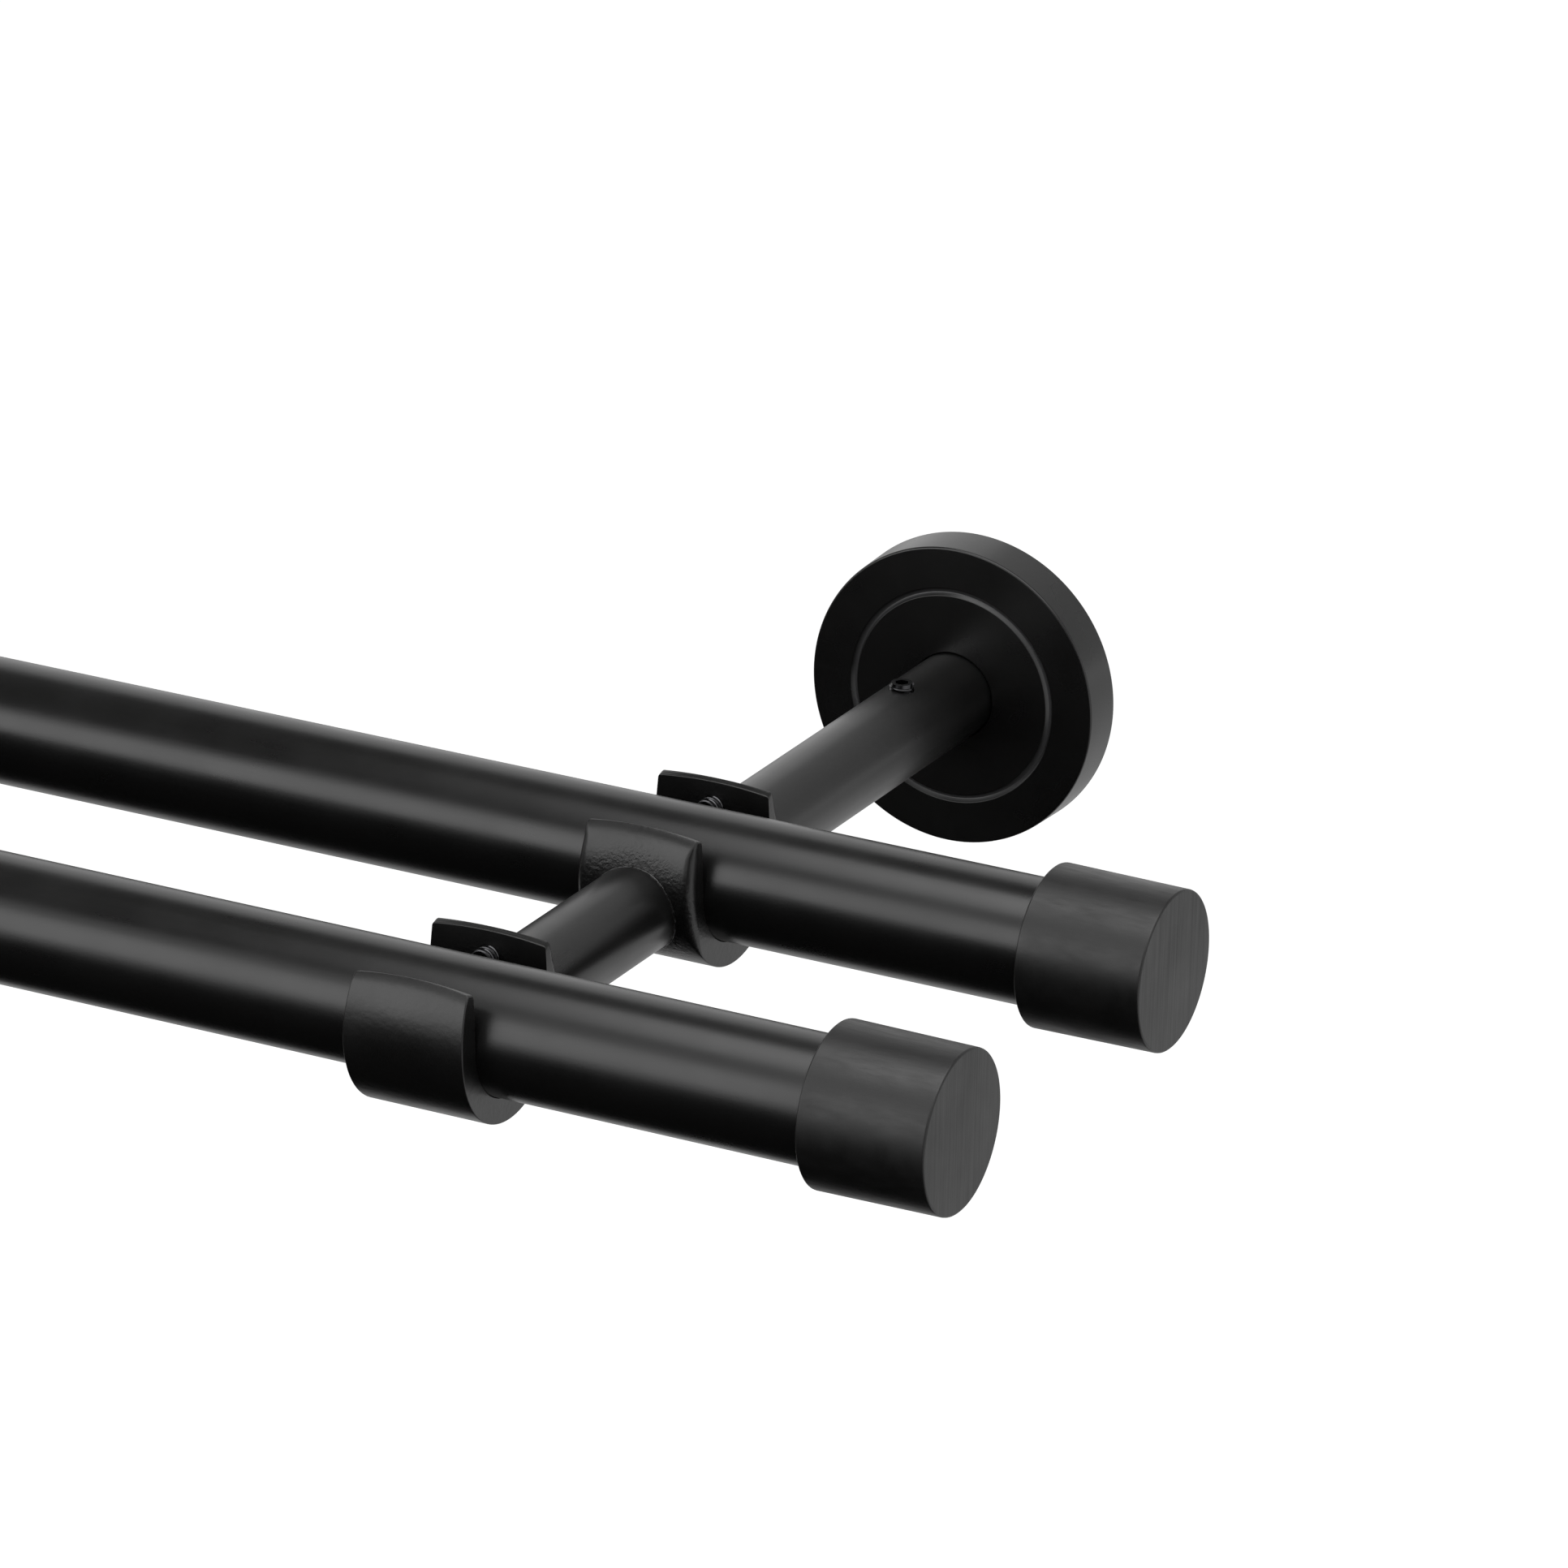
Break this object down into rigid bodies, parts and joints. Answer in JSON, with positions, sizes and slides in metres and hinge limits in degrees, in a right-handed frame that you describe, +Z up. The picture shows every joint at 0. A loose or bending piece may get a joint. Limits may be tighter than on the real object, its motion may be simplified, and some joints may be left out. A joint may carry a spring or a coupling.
{
  "type": "double curtain pole",
  "caption": "Double curtain pole in satin black metal: straight tubes carried one in front of the other in cast cradles on round wall brackets, with plain capped ends.",
  "frame": {"origin": "on the wall, midway between the two brackets, at the height of their arm axes", "axes": "+X along the poles towards the right end as seen from the room, +Y into the wall, +Z up"},
  "size_m": [1.0062, 0.1904, 0.0512],
  "materials": {
    "pole_coat": "satin black coat on steel tube",
    "arm_coat": "satin black coat on steel tube",
    "cast_coat": "satin black coat on a cast surface with a slight orange-peel texture",
    "cap_coat": "satin black coat on turned metal",
    "cover_coat": "satin black coat on turned metal",
    "plate_steel": "matt black coat on steel",
    "screw_steel": "blackened steel",
    "insert_plastic": "black moulded plastic"
  },
  "bodies": {
    "root": {"rear_pole": "pole_coat", "left_rear_end_cap": "cap_coat", "left_rear_cap_insert": "insert_plastic", "left_rear_arm": "arm_coat", "left_rear_cradle": "cast_coat", "left_rear_pole_screw": "screw_steel", "right_rear_end_cap": "cap_coat", "right_rear_cap_insert": "insert_plastic", "right_rear_arm": "arm_coat", "right_rear_cradle": "cast_coat", "right_rear_pole_screw": "screw_steel", "front_pole": "pole_coat", "left_front_end_cap": "cap_coat", "left_front_cap_insert": "insert_plastic", "left_front_arm": "arm_coat", "left_front_cradle": "cast_coat", "left_front_pole_screw": "screw_steel", "right_front_end_cap": "cap_coat", "right_front_cap_insert": "insert_plastic", "right_front_arm": "arm_coat", "right_front_cradle": "cast_coat", "right_front_pole_screw": "screw_steel", "left_wall_plate": "plate_steel", "left_wall_cover": "cover_coat", "left_arm_screw": "screw_steel", "right_wall_plate": "plate_steel", "right_wall_cover": "cover_coat", "right_arm_screw": "screw_steel"}
  },
  "joints": []
}
